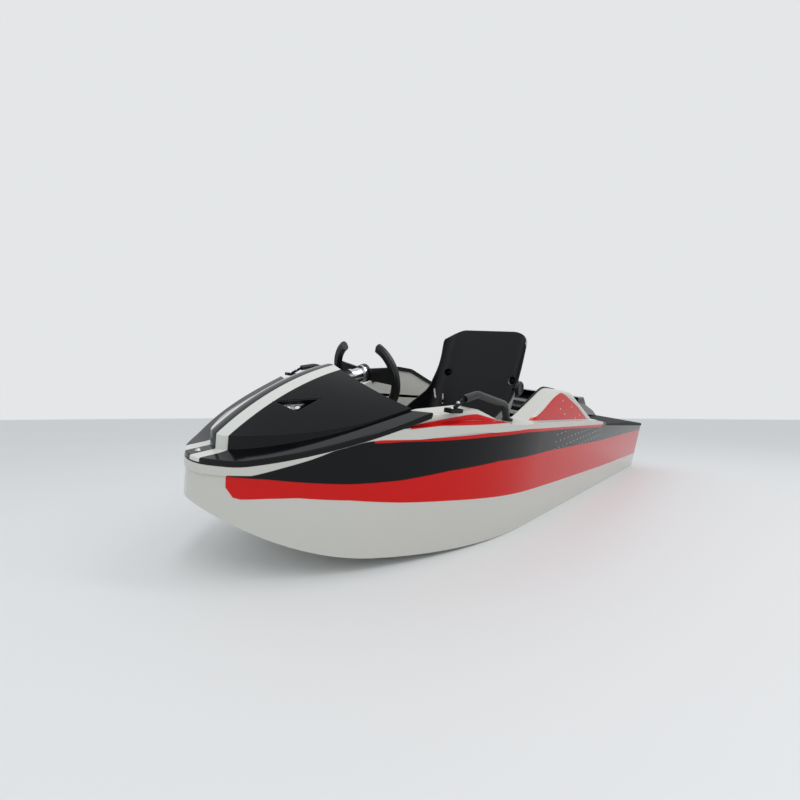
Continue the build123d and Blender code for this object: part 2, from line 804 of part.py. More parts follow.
with BuildPart() as steering_wheel:
    with BuildSketch(wheel_plane.offset(-boss_start)):
        Circle(hub_plate_r)
    extrude(amount=hub_plate_thick)
    for side in (-1, 1):
        with BuildSketch(wheel_plane.offset(-spoke_thick / 2)):
            with BuildLine():
                Polyline(*[(side * across, up) for across, up in spoke_points], close=True)
            make_face()
        extrude(amount=spoke_thick)
        with BuildLine(wheel_plane):
            top, middle, foot = [(side * across, up) for across, up in grip_points]
            grip_line = ThreePointArc(top, middle, foot)
        with BuildSketch(Plane(origin=grip_line @ 0, x_dir=column_dir, z_dir=grip_line % 0)):
            section = Rectangle(grip_deep, grip_wide)
            chamfer(section.vertices(), length=grip_corner)
        sweep(path=grip_line)
keep(steering_wheel.part, "steering_wheel")

with BuildPart() as steering_boss:
    for step in boss_steps:
        with BuildSketch(wheel_plane.offset(-boss_start - step.start - step.length)):
            Circle(step.r)
        extrude(amount=step.length)
keep(steering_boss.part, "steering_boss")

column_foot = boss_start + boss_length + column_length
with BuildPart() as steering_column:
    with BuildSketch(wheel_plane.offset(-column_foot)):
        Circle(column_r)
    extrude(amount=column_length)
    with BuildSketch(wheel_plane.offset(-column_foot)):
        with Locations((0, -column_arm / 2)):
            SlotOverall(column_arm + column_arm_wide, column_arm_wide, rotation=90)
    extrude(amount=column_arm_thick)
keep(steering_column.part, "steering_column")

# Column bracket: a cross bar under the cowl with a bearing block on it
bearing_end = boss_start + boss_length + bearing_aft + bearing_length
bearing_centre = hub - column_dir * (bearing_end - bearing_length / 2)
with BuildPart() as column_bracket:
    with BuildSketch(wheel_plane.offset(-bearing_end)):
        Circle(bearing_r)
        with Locations((0, -bar_drop / 2 - pedal_thick)):
            Rectangle(bracket_wide, bar_drop)
    extrude(amount=bearing_length)
    with BuildSketch(Plane.XZ.offset(-half_wide)):
        with Locations((bearing_centre.X, bearing_centre.Z - bar_drop)):
            Circle(bar_r)
    extrude(amount=2 * half_wide)
    add(cockpit, mode=Mode.INTERSECT)
    with BuildSketch(wheel_plane.offset(-bearing_end - spare)):
        Circle(column_r + pin_clear)
    extrude(amount=bearing_length + 2 * spare, mode=Mode.SUBTRACT)
keep(column_bracket.part, "column_bracket")


# Side handles: an arched grip on each hump, with a thin rod that runs down to a cleat
def round_bar(line, radius):
    """A round bar along a line that lies in the handle's plane."""
    with BuildPart() as bar:
        with BuildSketch(Plane(origin=line @ 0, z_dir=line % 0)):
            Circle(radius)
        sweep(path=line)
    return bar.part


handle_plane = Plane.XZ.offset(-handle_y)
coaming_top = above(coaming_line, pin_clear)
with BuildPart() as handle:
    with BuildLine(handle_plane):
        arch = FilletPolyline(*[(handle_x + ahead, z) for ahead, z in handle_path], radius=handle_rounds)
    add(round_bar(arch, handle_r))
    with Locations((handle_x, handle_y, handle_path[0][1] + foot_pad_thick)):
        Cylinder(foot_pad_r, foot_pad_thick)
    add(coaming_top, mode=Mode.INTERSECT)
keep(handle.part, "handle_port")
keep(mirror(handle.part, about=Plane.XZ), "handle_starboard")

with BuildPart() as handle_foot:
    with BuildLine(handle_plane):
        rod = Line((handle_x + handle_path[-1][0], handle_path[-1][1]), (handle_x + rod_end[0], rod_end[1]))
    add(round_bar(rod, rod_r))
    with Locations((handle_x + rod_end[0], handle_y, rod_end[1] - cleat_thick / 2)):
        Box(cleat_length, cleat_width, cleat_thick)
    add(coaming_top, mode=Mode.INTERSECT)
    add(handle.part, mode=Mode.SUBTRACT)
keep(handle_foot.part, "handle_foot_port")
keep(mirror(handle_foot.part, about=Plane.XZ), "handle_foot_starboard")

# Pump housing: impeller bore, stator with its hub, outlet cone and the fork that carries the nozzle
with BuildPart() as pump_housing:
    add(turned(pump_front_x, impeller_aft_x, pump_bore_r + pump_wall, pump_bore_r))
    add(turned(impeller_aft_x, stator_aft_x, pump_bore_r + pump_wall, stator_bore_r))
    add(cone(stator_aft_x, cone_aft_x, pump_bore_r + outlet_wall, outlet_r + outlet_wall + 2))
    add(turned(cone_aft_x, outlet_aft_x, outlet_r + outlet_wall))
    add(cone(stator_aft_x, cone_aft_x, stator_bore_r, outlet_r), mode=Mode.SUBTRACT)
    add(turned(cone_aft_x, outlet_aft_x, outlet_r), mode=Mode.SUBTRACT)
    add(turned(impeller_aft_x, stator_aft_x, stator_hub_r))
    add(cone(stator_aft_x, cone_aft_x, stator_hub_r, vane_thick))
    with BuildSketch(drive_axis.offset(-impeller_aft_x)):
        with PolarLocations((stator_hub_r + stator_bore_r) / 2, stator_vanes):
            Rectangle(stator_bore_r - stator_hub_r + vane_thick, vane_thick)
    extrude(amount=impeller_aft_x - stator_aft_x)
    add(turned(impeller_aft_x, stator_aft_x + outlet_wall, drive_shaft_r + pin_clear), mode=Mode.SUBTRACT)
    for side in (-1, 1):
        fork_z = drive_z + side * (pump_bore_r - 1 + fork_thick / 2)
        with Locations(((impeller_aft_x + fork_aft_x) / 2 - fork_thick, 0, fork_z)):
            Box(impeller_aft_x - fork_aft_x - 2 * fork_thick, 2 * pivot_boss_r, fork_thick)
    with Locations((nozzle_pivot_x, 0, drive_z)):
        Cylinder(pivot_pin_r + pin_clear, 4 * pump_bore_r, mode=Mode.SUBTRACT)
    add(box_between((pump_front_x - hanger_length, -hanger_half, drive_z + pump_bore_r + pump_wall / 2),
                    (pump_front_x, hanger_half, tunnel_top_z)))
keep(pump_housing.part, "pump_housing")

# Impeller: four slanted blades on a hub, with the drive shaft
with BuildPart() as impeller:
    for turn in range(0, 360, 360 // impeller_blades):
        blade = Plane(origin=((pump_front_x + impeller_aft_x) / 2 - impeller_gap, 0, drive_z), x_dir=(1, 0, 0),
                      z_dir=(0, sin(radians(turn)), cos(radians(turn))))
        with BuildSketch(blade):
            Rectangle(pump_bore_r, blade_thick, rotation=blade_pitch)
        extrude(amount=pump_bore_r)
    add(turned(pump_front_x - impeller_gap, impeller_aft_x + impeller_gap, pump_bore_r - impeller_gap),
        mode=Mode.INTERSECT)
    add(turned(pump_front_x - impeller_gap, impeller_aft_x + impeller_gap, impeller_hub_r))
    add(turned(tunnel_front_x + shaft_ahead, stator_aft_x + 2 * outlet_wall, drive_shaft_r))
keep(impeller.part, "impeller")

# Steering nozzle: a bell that swings on two upright pins, with an arm for its steering rod
with BuildPart() as steering_nozzle:
    add(cone(nozzle_front_x, nozzle_exit_x, nozzle_mouth_r + nozzle_wall - 2, nozzle_exit_r + nozzle_wall))
    for side in (-1, 1):
        boss_top = side * (pump_bore_r - 1 - fork_gap)
        with BuildSketch(Plane(origin=(nozzle_pivot_x, 0, drive_z + boss_top), z_dir=(0, 0, -side))):
            Circle(pivot_boss_r)
        extrude(amount=2 * pivot_boss_r)
        with BuildSketch(Plane(origin=(nozzle_pivot_x, 0, drive_z + boss_top), z_dir=(0, 0, side))):
            Circle(pivot_pin_r)
        extrude(amount=fork_thick + fork_gap)
    add(box_between((nozzle_pivot_x - arm_half, nozzle_exit_r, drive_z - fork_thick / 2),
                    (nozzle_pivot_x + arm_half, arm_reach, drive_z + fork_thick / 2)))
    with Locations((nozzle_pivot_x, arm_reach - arm_half, drive_z)):
        Cylinder(pivot_pin_r, 2 * fork_thick, mode=Mode.SUBTRACT)
    add(cone(nozzle_front_x, nozzle_exit_x, nozzle_mouth_r, nozzle_exit_r), mode=Mode.SUBTRACT)
keep(steering_nozzle.part, "steering_nozzle")

# Ride plate under the pump and grate over the intake, flush in the flat of the bottom
grate_aft_x = pump_front_x + ride_overlap
with BuildPart() as ride_plate:
    add(box_between((stern_x + 2, -tunnel_half, ride_z - ride_thick), (grate_aft_x, tunnel_half, ride_z)))
keep(ride_plate.part, "ride_plate")

grate_open = tunnel_half - grate_frame
grate_pitch = 2 * grate_open / (grate_bars + 1)
with BuildPart() as intake_grate:
    add(box_between((grate_aft_x, -tunnel_half, ride_z - ride_thick), (tunnel_front_x, tunnel_half, ride_z)))
    add(box_between((grate_aft_x + grate_end, -grate_open, 0), (tunnel_front_x - grate_end, grate_open, drive_z)),
        mode=Mode.SUBTRACT)
    for k in range(grate_bars):
        bar_y = grate_pitch * (k + 1) - grate_open
        add(box_between((grate_aft_x, bar_y - grate_bar_width / 2, ride_z - ride_thick),
                        (tunnel_front_x, bar_y + grate_bar_width / 2, ride_z)))
keep(intake_grate.part, "intake_grate")

# Intake duct: a sloping roof of the tunnel that leads up to the pump
with BuildPart() as intake_duct:
    with BuildSketch(Plane.XZ.offset(-tunnel_half)):
        with BuildLine():
            Polyline((tunnel_front_x, ride_z), (tunnel_front_x, tunnel_top_z), (pump_front_x, tunnel_top_z),
                     (pump_front_x, drive_z + pump_bore_r + pump_wall + duct_clear),
                     (tunnel_front_x - grate_end, ride_z), close=True)
        make_face()
    extrude(amount=2 * tunnel_half)
    add(turned(tunnel_front_x + spare, pump_front_x - spare, shaft_hole_r), mode=Mode.SUBTRACT)
keep(intake_duct.part, "intake_duct")

# Engine: one block with rounded edges and a coupling, on two bearer rails
with BuildPart() as engine:
    with Locations((engine_x, 0, engine_z)):
        Box(*engine_size)
    fillet(engine.edges().filter_by(Axis.X), radius=engine_round)
    add(turned(engine_x - engine_size[0] / 2 + 1, tunnel_front_x + shaft_ahead, coupling_r))
keep(engine.part, "engine")

with BuildPart() as engine_bearers:
    for side in (-1, 1):
        add(box_between((engine_x - bearer_reach, side * bearer_y - bearer_half, 0),
                        (engine_x + bearer_reach, side * bearer_y + bearer_half, engine_z - engine_size[2] / 2)))
    add(above_bottom(hull_skin / cos(radians(deadrise))), mode=Mode.INTERSECT)
keep(engine_bearers.part, "engine_bearers")

# All pieces lean to port onto the bottom panel, and the middle of the whole moves to the origin
leaned = {name: piece.rotate(Axis.X, -deadrise) for name, piece in pieces.items()}
boxes = [piece.bounding_box() for piece in leaned.values()]
middle_x = (min(box.min.X for box in boxes) + max(box.max.X for box in boxes)) / 2
middle_y = (min(box.min.Y for box in boxes) + max(box.max.Y for box in boxes)) / 2
lowest_z = min(box.min.Z for box in boxes)
os.makedirs("parts", exist_ok=True)
for name, piece in leaned.items():
    placed = piece.moved(Location((-middle_x, -middle_y, -lowest_z)))
    placed.label = name
    export_step(placed, "parts/" + name + ".step")
print("shift", round(-middle_x, 5), round(-middle_y, 5), round(-lowest_z, 5), "pieces", len(pieces))
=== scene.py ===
# %% [markdown]
# # A one-seat jet boat, dressed in Blender
# The boat is a sit-in personal watercraft about 2.5 m long. It lies on a floor, so its V bottom
# leans it onto one panel. Its solids come ready from CAD as a fixed frame, and this lesson gives
# them their finishes and adds the small things that are too fine for the solids.

# %% Load the frame
import json
import math

import bmesh
import bpy
from mathutils import Matrix, Vector
from mathutils.bvhtree import BVHTree


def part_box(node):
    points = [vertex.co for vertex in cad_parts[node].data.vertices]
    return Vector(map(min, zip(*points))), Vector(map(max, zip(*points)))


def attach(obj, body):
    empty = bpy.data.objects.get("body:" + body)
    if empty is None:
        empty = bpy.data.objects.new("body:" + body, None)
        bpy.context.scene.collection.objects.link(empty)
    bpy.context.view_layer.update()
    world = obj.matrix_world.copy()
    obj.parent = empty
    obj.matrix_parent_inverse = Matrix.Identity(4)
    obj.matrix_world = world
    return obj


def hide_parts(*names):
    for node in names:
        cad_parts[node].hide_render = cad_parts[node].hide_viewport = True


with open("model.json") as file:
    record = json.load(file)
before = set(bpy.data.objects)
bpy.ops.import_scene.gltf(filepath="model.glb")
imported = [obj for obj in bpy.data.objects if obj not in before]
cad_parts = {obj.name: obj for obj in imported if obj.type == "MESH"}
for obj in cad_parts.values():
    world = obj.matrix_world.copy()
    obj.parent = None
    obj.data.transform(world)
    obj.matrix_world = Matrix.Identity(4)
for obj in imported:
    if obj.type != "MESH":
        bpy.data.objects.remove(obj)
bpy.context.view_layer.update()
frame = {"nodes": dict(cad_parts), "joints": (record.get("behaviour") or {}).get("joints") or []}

print("pieces from CAD:", len(frame["nodes"]))

# %% [markdown]
# ## The boat's own axes
# Sizes on a boat are easiest to give in its own axes: X to the bow, Y to port, Z up from the keel.
# The leaning boat is those axes turned about the keel line by the deadrise. The shaft line tells
# where the keel line went, because it runs along the middle plane at a known height.

# %% Boat axes
MM = 0.001
LEAN = math.radians(11)
SHAFT_HEIGHT = 112 * MM
STERN_TO_MIDDLE = 1250 * MM


def find_shift():
    """How far the turned boat axes were moved to reach the frame's origin."""
    for joint in frame["joints"]:
        if joint["name"] == "impeller_spin":
            point = Vector(joint["pos_m"])
    turned = Matrix.Rotation(-LEAN, 3, "X") @ Vector((0, 0, SHAFT_HEIGHT))
    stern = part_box("hull")[0].x
    return Vector((stern + STERN_TO_MIDDLE, point.y - turned.y, point.z - turned.z))


SHIFT = find_shift()
TO_FRAME = Matrix.Translation(SHIFT) @ Matrix.Rotation(-LEAN, 4, "X")
print("keel middle in the frame, mm:", [round(v / MM, 2) for v in SHIFT])

# %% [markdown]
# ## Camera
# The view is from ahead and to port, close to the bow, with a wide lens at about the height of
# the deck. The camera is level, so the horizon sits a little under the middle of the picture.

# %% Camera
IMAGE_WIDTH = 800
FOCAL_PIXELS = 342.0
HORIZON_BELOW_MIDDLE = 14.2
HEADING = math.radians(43.4)
CAMERA_FROM_KEEL = Vector((1.468, 0.874, 0.342))
SENSOR = 36.0

camera_data = bpy.data.cameras.new("camera")
camera_data.sensor_width = SENSOR
camera_data.lens = SENSOR * FOCAL_PIXELS / IMAGE_WIDTH
camera_data.shift_y = HORIZON_BELOW_MIDDLE / IMAGE_WIDTH
camera_data.clip_start = 0.05
camera = bpy.data.objects.new("camera", camera_data)
bpy.context.scene.collection.objects.link(camera)
camera.location = CAMERA_FROM_KEEL + SHIFT
look = Vector((-math.cos(HEADING), -math.sin(HEADING), 0))
camera.rotation_euler = look.to_track_quat("-Z", "Y").to_euler()
bpy.context.scene.camera = camera
print("lens, mm:", round(camera_data.lens, 2))

# %% [markdown]
# ## Helpers for materials
# Colours are given as sRGB codes, and Blender's nodes want linear values. One short function makes
# every node of a material: it adds the node, sets its options and links or fills its inputs. The
# rest join such nodes: sums, curves of height, masks with a soft edge, and a fine bump.

# %% Helpers for materials
def colour(code):
    """An sRGB code such as 1a2b3c, as linear red, green, blue and alpha."""
    parts = [int(code[i:i + 2], 16) / 255 for i in (0, 2, 4)]
    linear = [p / 12.92 if p <= 0.04045 else ((p + 0.055) / 1.055) ** 2.4 for p in parts]
    return (*linear, 1.0)


def add_node(tree, kind, links=None, **settings):
    """A new node, with its settings and with each named input linked to a socket or set to a value."""
    node = tree.nodes.new(kind)
    for key, value in settings.items():
        setattr(node, key, value)
    for key, value in (links or {}).items():
        socket = node.inputs[key]
        if isinstance(value, bpy.types.NodeSocket):
            tree.links.new(value, socket)
        else:
            socket.default_value = value
    return node


def new_material(name):
    """An empty node material and its Principled shader."""
    material = bpy.data.materials.new(name)
    material.use_nodes = True
    return material, material.node_tree, material.node_tree.nodes["Principled BSDF"]


def place(tree):
    """Where a point lies in the boat's own axes, in metres, as separate X, Y and Z."""
    source = add_node(tree, "ShaderNodeTexCoord").outputs["Object"]
    back = Matrix.Rotation(LEAN, 3, "X") @ SHIFT
    turn_back = {"Vector": source, "Rotation": (LEAN, 0, 0), "Location": -back}
    axes = add_node(tree, "ShaderNodeMapping", turn_back)
    vector = axes.outputs["Vector"]
    return vector, add_node(tree, "ShaderNodeSeparateXYZ", {"Vector": vector})


def maths(tree, operation, first, second=0.0):
    """One sum on two values."""
    return add_node(tree, "ShaderNodeMath", {0: first, 1: second}, operation=operation).outputs[0]


LINE_REACH = 1.3


def line_height(tree, x_socket, points):
    """A height that changes along the boat, from a table of X and Z in metres."""
    share = add_node(tree, "ShaderNodeMapRange", {"Value": x_socket, "From Min": -LINE_REACH,
                                                  "From Max": LINE_REACH})
    curve = add_node(tree, "ShaderNodeFloatCurve", {"Value": share.outputs[0]})
    line = curve.mapping.curves[0]
    ordered = sorted((x, z) for x, z in points)
    while len(line.points) < len(ordered):
        line.points.new(0.5, 0.5)
    for point, (x, z) in zip(line.points, ordered):
        point.location = ((x + LINE_REACH) / (2 * LINE_REACH), z)
        point.handle_type = "VECTOR"
    curve.mapping.update()
    return curve.outputs[0]


def over(tree, value, limit, soft=0.0008):
    """One where a value is over a limit and nought where it is under, across an edge twice soft wide."""
    gap = maths(tree, "SUBTRACT", value, limit)
    edge = add_node(tree, "ShaderNodeMapRange", {"Value": gap, "From Min": -soft, "From Max": soft})
    return edge.outputs[0]


def product(tree, first, second):
    """Two shares multiplied."""
    return maths(tree, "MULTIPLY", first, second)


def dot_product(tree, first, second):
    """How far one direction or place reaches along another."""
    node = add_node(tree, "ShaderNodeVectorMath", {0: first, 1: second}, operation="DOT_PRODUCT")
    return node.outputs["Value"]


def mixed(tree, share, under, upper):
    """A colour with another laid over it where the share is one."""
    mix = add_node(tree, "ShaderNodeMix", data_type="RGBA")
    for socket, value in ((mix.inputs[0], share), (mix.inputs[6], under), (mix.inputs[7], upper)):
        if isinstance(value, bpy.types.NodeSocket):
            tree.links.new(value, socket)
        else:
            socket.default_value = value
    return mix.outputs[2]


def grain(tree, shader, vector, size_mm, height_mm, stretch=(1, 1, 1)):
    """A fine bump whose features have a size and a height in millimetres."""
    scaled = add_node(tree, "ShaderNodeMapping", {"Vector": vector, "Scale": stretch})
    scale = 1 / (size_mm * MM)
    noise = add_node(tree, "ShaderNodeTexNoise", {"Vector": scaled.outputs[0], "Scale": scale, "Detail": 2.0})
    height = {"Height": noise.outputs["Fac"], "Distance": height_mm * MM, "Strength": 1.0}
    bump = add_node(tree, "ShaderNodeBump", height)
    tree.links.new(bump.outputs[0], shader.inputs["Normal"])
    return noise.outputs["Fac"]


def finish(tree, shader, base, roughness, metallic=0.0, ior=1.5, coat=0.0, specular=0.5):
    """The shader's colour and the constants of its surface."""
    if isinstance(base, bpy.types.NodeSocket):
        tree.links.new(base, shader.inputs["Base Color"])
    else:
        shader.inputs["Base Color"].default_value = base
    shader.inputs["Roughness"].default_value = roughness
    shader.inputs["Metallic"].default_value = metallic
    shader.inputs["IOR"].default_value = ior
    shader.inputs["Coat Weight"].default_value = coat
    shader.inputs["Specular IOR Level"].default_value = specular
    shader.inputs["Coat Roughness"].default_value = 0.04


WHITE, BLACK, RED = colour("c6c6c0"), colour("030407"), colour("c8100c")
print("white, black and red are set")

# %% [markdown]
# ## Lines between the colours
# The colour bands are not cut into the mesh. Each edge is a curve of height against length, in the
# boat's axes and in metres, and a point takes its colour from the side of the curve it lies on. A
# height of 0.6 is over everything, so it ends a band. The ledge line gives half widths, not heights.

# %% Lines between the colours
BLACK_OVER_RED = [
    (-1.3, .329), (-1.2, .327), (-.253, .309), (.348, .311), (.645, .303), (.812, .285),
    (.929, .265), (1.028, .255), (1.113, .251), (1.156, .249), (1.195, .243), (1.213, .241),
    (1.216, .6), (1.3, .6),
]
RED_OVER_WHITE = [
    (-1.3, .166), (-1.25, .167), (-.362, .176), (.29, .192), (.615, .203), (.798, .211),
    (.922, .214), (1.024, .22), (1.111, .218), (1.153, .209), (1.196, .196), (1.206, .21),
    (1.212, .228), (1.215, .6), (1.3, .6),
]
BAND_FOOT = [
    (-1.3, .6), (-.3, .6), (-.25, .385), (.536, .388), (.701, .378), (.852, .363), (.903, .358),
    (.981, .353), (1.01, .347), (1.037, .338), (1.058, .327), (1.096, .302), (1.137, .278),
    (1.177, .253), (1.3, .22),
]
RED_LINE = [
    (-1.3, .6), (-.28, .6), (-.25, .372), (-.074, .374), (.211, .378), (.526, .378), (.698, .368),
    (.851, .356), (.93, .351), (1.0, .345), (1.02, .6), (1.3, .6),
]
LOBES = [
    (-1.3, 0), (-.13, .396), (-.03, .412), (.109, .456), (.254, .490), (.29, .497), (.317, .497),
    (.35, .484), (.38, .468), (.42, .444), (.45, .428), (.468, .420), (.51, .411), (.56, .405),
    (.62, .404), (.66, .408), (.745, .421), (.776, .417), (.81, .41), (.847, .402), (.902, .388),
    (.93, .38), (1.3, 0),
]
BAND_TOP = [
    (-1.3, .408), (.55, .408), (.60, .4065), (.653, .404), (.753, .397), (.858, .3905),
    (.926, .379), (1.02, .36), (1.3, .36),
]
LEDGE_HALF = [
    (-1.3, .6), (.60, .6), (.605, .395), (.653, .391), (.753, .371), (.858, .337), (.926, .31),
    (.94, .6), (1.3, .6),
]
WALL_HALF = 0.06
print("points on the colour lines:", sum(len(line) for line in (
    BLACK_OVER_RED, RED_OVER_WHITE, BAND_FOOT, RED_LINE, LOBES, BAND_TOP, LEDGE_HALF)))

# %% [markdown]
# ## Dots
# Light dots lie in slanting rows on the black, towards the stern, and seven larger ones lie on the
# rear red lobe. The rows are a grid of cells with a spot in the middle of each cell, and they could
# also be a texture picture, but a grid stays sharp at any distance.

# %% Dots
RED_DOTS = [
    (.276, .473), (.176, .454), (.284, .445), (.233, .428), (.063, .423), (.11, .413),
    (-.034, .411),
]
DOT_RISE = 0.09
DOT_STEP = (38 * MM, 24.5 * MM)
DOT_FIELD_X = (-.27, .31)
DOT_FIELD_Z = (.312, .372)
DOT_GROWTH = {"From Min": .34, "From Max": -.28, "To Min": 2.2 * MM, "To Max": 3.2 * MM}
RED_DOT_RADIUS = 3.4 * MM
GRID_START = 2.0


def distance(tree, across, up):
    """How far a point is from where two measures are nought."""
    return maths(tree, "SQRT", maths(tree, "ADD", product(tree, across, across), product(tree, up, up)))


def between(tree, value, low, high):
    """One between two limits, and nought outside them."""
    return product(tree, maths(tree, "GREATER_THAN", value, low), maths(tree, "LESS_THAN", value, high))


def dot_rows(tree, axes):
    """Rows of dots on the black, in a rising grid, smaller to the front."""
    x = axes.outputs["X"]
    z = maths(tree, "ADD", axes.outputs["Z"], product(tree, x, DOT_RISE))
    inside = []
    for value, step in zip((x, z), DOT_STEP):
        cell = maths(tree, "FRACT", maths(tree, "DIVIDE", maths(tree, "ADD", value, GRID_START), step))
        inside.append(product(tree, maths(tree, "SUBTRACT", cell, .5), step))
    radius = add_node(tree, "ShaderNodeMapRange", {"Value": x, **DOT_GROWTH}).outputs[0]
    spot = maths(tree, "LESS_THAN", distance(tree, *inside), radius)
    field = product(tree, between(tree, x, *DOT_FIELD_X), between(tree, axes.outputs["Z"], *DOT_FIELD_Z))
    return product(tree, field, spot)


def few_dots(tree, axes):
    """A few larger dots on the red, each from its own place."""
    found = None
    for dot_x, dot_z in RED_DOTS:
        gap = distance(tree, maths(tree, "SUBTRACT", axes.outputs["X"], dot_x),
                       maths(tree, "SUBTRACT", axes.outputs["Z"], dot_z))
        spot = maths(tree, "LESS_THAN", gap, RED_DOT_RADIUS)
        found = spot if found is None else maths(tree, "MAXIMUM", found, spot)
    return found


print("dots on the red lobe:", len(RED_DOTS))

# %% [markdown]
# ## Painted gelcoat
# Gelcoat is a coloured resin sprayed into the mould before the glassfibre, so it is glossy and a
# little wavy. One function makes the surface, and a painter function gives it its colour. Its
# reflections are kept weak, because a pale studio would turn the black to grey.

# %% Painted gelcoat
OUTWARD_LIMIT, OUTWARD_SOFT = .3, .02
STRIPE_EDGES = (.017, .049)
MIDDLE_HALF = .013



def gelcoat(name, painter):
    """Glossy gelcoat coloured by a painter, with waves 60 mm long and a twentieth of a millimetre high."""
    material, tree, shader = new_material(name)
    vector, axes = place(tree)
    grain(tree, shader, vector, 60, 0.05)
    finish(tree, shader, painter(tree, vector, axes), 0.12, specular=0.22)
    return material


def paint_hull(tree, vector, axes):
    """White below, a red band, black above it, and a thin red line under a white lip."""
    x, z = axes.outputs["X"], axes.outputs["Z"]
    base = mixed(tree, over(tree, z, line_height(tree, x, RED_OVER_WHITE)), WHITE, RED)
    base = mixed(tree, over(tree, z, line_height(tree, x, BLACK_OVER_RED)), base, BLACK)
    base = mixed(tree, dot_rows(tree, axes), base, WHITE)
    base = mixed(tree, over(tree, z, line_height(tree, x, RED_LINE)), base, RED)
    return mixed(tree, over(tree, z, line_height(tree, x, BAND_FOOT)), base, WHITE)


def outward_face(tree, axes):
    """One on walls that face away from the middle plane."""
    normal = add_node(tree, "ShaderNodeNewGeometry").outputs["True Normal"]
    port = tuple(TO_FRAME.to_3x3() @ Vector((0, 1, 0)))
    across = dot_product(tree, normal, port)
    away = product(tree, across, maths(tree, "SIGN", axes.outputs["Y"]))
    wide = over(tree, maths(tree, "ABSOLUTE", axes.outputs["Y"]), WALL_HALF)
    return product(tree, over(tree, away, OUTWARD_LIMIT, OUTWARD_SOFT), wide)


def paint_deck(tree, vector, axes):
    """White, with the hull's bands on its lower lip and two red lobes on the outside of the coaming."""
    x, z = axes.outputs["X"], axes.outputs["Z"]
    outside = outward_face(tree, axes)
    base = mixed(tree, outside, WHITE, paint_hull(tree, vector, axes))
    above_band = over(tree, z, line_height(tree, x, BAND_TOP))
    under_lobe = over(tree, line_height(tree, x, LOBES), z)
    ledge = over(tree, maths(tree, "ABSOLUTE", axes.outputs["Y"]), line_height(tree, x, LEDGE_HALF))
    shown = maths(tree, "MAXIMUM", outside, ledge)
    share = product(tree, product(tree, shown, above_band), under_lobe)
    return mixed(tree, share, base, mixed(tree, few_dots(tree, axes), RED, WHITE))


def paint_cowl(tree, vector, axes):
    """Black, with a white stripe on each side of the ridge."""
    aside = maths(tree, "ABSOLUTE", axes.outputs["Y"])
    inner, outer = [over(tree, aside, edge) for edge in STRIPE_EDGES]
    stripe = maths(tree, "SUBTRACT", inner, outer)
    middle = over(tree, MIDDLE_HALF, aside)
    base = mixed(tree, stripe, colour("07090c"), colour("d0d2ce"))
    return mixed(tree, middle, base, colour("2b2d30"))


def paint_black(tree, vector, axes):
    """Plain black, with a slow change of tone as in sprayed resin."""
    tone = add_node(tree, "ShaderNodeTexNoise", {"Vector": vector, "Scale": 1 / (90 * MM)})
    return mixed(tree, tone.outputs["Fac"], colour("060709"), colour("0b0d10"))


# Glossy gelcoat in three colours, masked by height along the hull
hull_gelcoat = gelcoat("gelcoat, white red and black", paint_hull)
# The same gelcoat in white with red lobes on the coaming
deck_gelcoat = gelcoat("gelcoat, white with red lobes", paint_deck)
# Black gelcoat with the two stripes of the nose
cowl_gelcoat = gelcoat("gelcoat, black with stripes", paint_cowl)
# Plain black gelcoat for the hood and its scoop
black_gelcoat = gelcoat("gelcoat, black", paint_black)
print("gelcoats made: 4")

# %% [markdown]
# ## The other finishes
# Each one is named for the real material. Rubber and moulded plastic differ from gelcoat mainly in
# roughness and in a fine grain, and metals have full metallic, with the colour in the reflection.

# %% The other finishes
def plain(name, first, second, roughness, grain_mm, height_mm, metallic=0.0, ior=1.5,
          stretch=(1, 1, 1), specular=0.5):
    """A material of two close tones with a fine grain of a given size."""
    material, tree, shader = new_material(name)
    tone = grain(tree, shader, place(tree)[0], grain_mm, height_mm, stretch)
    base = mixed(tree, tone, colour(first), colour(second))
    finish(tree, shader, base, roughness, metallic, ior, specular=specular)
    return material


SEAT_MIDDLE = Vector((0.47, 0, 0.56))
FACING_LIMIT, FACING_SOFT = 0.03, 0.012


def seat_material():
    """Moulded plastic, dark on the side that faces the driver and light grey on the outside."""
    material, tree, shader = new_material("moulded seat shell, two colours")
    grain(tree, shader, place(tree)[0], 3, 0.03)
    normal = add_node(tree, "ShaderNodeNewGeometry").outputs["True Normal"]
    frame_point = add_node(tree, "ShaderNodeTexCoord").outputs["Object"]
    middle = tuple(TO_FRAME @ SEAT_MIDDLE)
    towards = add_node(tree, "ShaderNodeVectorMath", {0: middle, 1: frame_point}, operation="SUBTRACT")
    inside = over(tree, dot_product(tree, normal, towards.outputs[0]), FACING_LIMIT, FACING_SOFT)
    finish(tree, shader, mixed(tree, inside, colour("a9abab"), colour("07080d")), 0.4, specular=0.3)
    return material


LAMP_TIP = Vector((1.097, .045, .384))
LAMP_REAR = Vector((1.011, .119, .406))
LAMP_SIDE = Vector((1.071, .116, .371))
LAMP_OUT = (LAMP_SIDE - LAMP_TIP).cross(LAMP_REAR - LAMP_TIP).normalized()
PLATE_SHARE = 0.645
PLATE_TOP = -7 * MM
PLATE_SLACK = 0.6 * MM
PLATE_SOFT = 0.01


